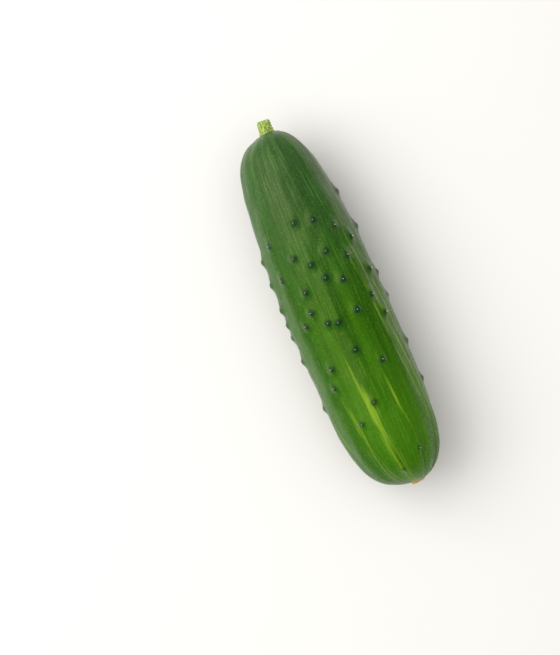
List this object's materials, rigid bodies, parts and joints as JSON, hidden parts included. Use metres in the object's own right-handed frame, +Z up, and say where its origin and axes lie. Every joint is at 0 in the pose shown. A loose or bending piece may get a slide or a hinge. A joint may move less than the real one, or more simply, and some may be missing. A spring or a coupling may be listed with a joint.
{
  "type": "cucumber",
  "caption": "Whole fresh cucumber lying on its side, with a warty spined skin, soft lengthwise ribs, a short cut stem and a small dry blossom scar.",
  "frame": {"origin": "on the ground, below the middle of the bounding box", "axes": "+X along the fruit from the stem to the blossom end, +Z up, +Y across to the side"},
  "size_m": [0.1753, 0.0484, 0.0467],
  "materials": {
    "skin": "waxy green cucumber skin, satin to semi-gloss",
    "stem": "pale green fibrous stalk, matte",
    "scar": "dry tan cork, matte"
  },
  "bodies": {
    "root": {"fruit": "skin", "stem": "stem", "blossom_scar": "scar"}
  },
  "joints": []
}
